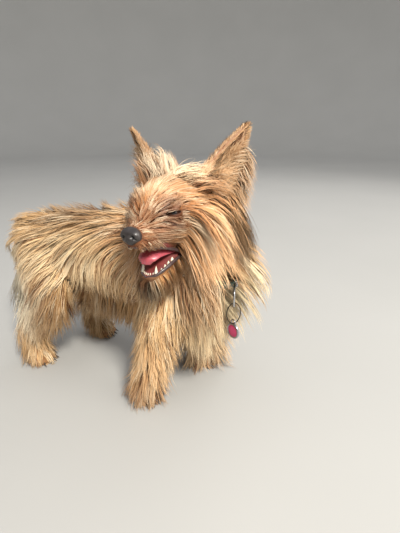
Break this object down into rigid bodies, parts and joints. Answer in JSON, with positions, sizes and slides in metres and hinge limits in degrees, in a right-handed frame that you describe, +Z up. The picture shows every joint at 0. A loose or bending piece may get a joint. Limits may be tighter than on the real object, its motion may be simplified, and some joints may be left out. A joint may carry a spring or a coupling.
{
  "type": "yorkshire terrier, standing, still life-size model",
  "caption": "Small long-coated terrier standing with its head turned to its right, mouth open and panting, with a collar, ring and plain round tag.",
  "frame": {"origin": "on the floor, under the middle of the whole box", "axes": "+X forward along the trunk, +Y to the dog's left, +Z up"},
  "size_m": [0.3476, 0.175, 0.2977],
  "materials": {
    "coat": "long silky coat, golden tan, paler on crown, chest and thighs, greyer along the back",
    "skin": "short-haired pinkish skin on muzzle, lids and inside the ears",
    "lip": "black lip and lid rims, slightly moist",
    "nose": "grey-black pebbled nose pad",
    "tongue": "moist pink tongue and gums",
    "tooth": "ivory teeth",
    "eye": "dark brown wet eye",
    "claw": "dark horn claws",
    "collar": "dark green woven band",
    "steel": "steel ring, worn",
    "black_wire": "thin black split ring",
    "tag_face": "pink enamel, bare",
    "tag_rim": "bright rim"
  },
  "bodies": {
    "root": {"head": "coat", "jaw": "coat", "neck": "coat", "torso": "coat", "tail": "coat", "ear_left": "coat", "ear_right": "coat", "foreleg_left": "coat", "foreleg_right": "coat", "thigh_left": "coat", "thigh_right": "coat", "shank_left": "coat", "shank_right": "coat", "nose": "nose", "tongue": "tongue", "eye_left": "eye", "eye_right": "eye", "collar": "collar", "collar_ring": "steel", "tag_ring": "black_wire", "tag": "tag_face"}
  },
  "joints": []
}
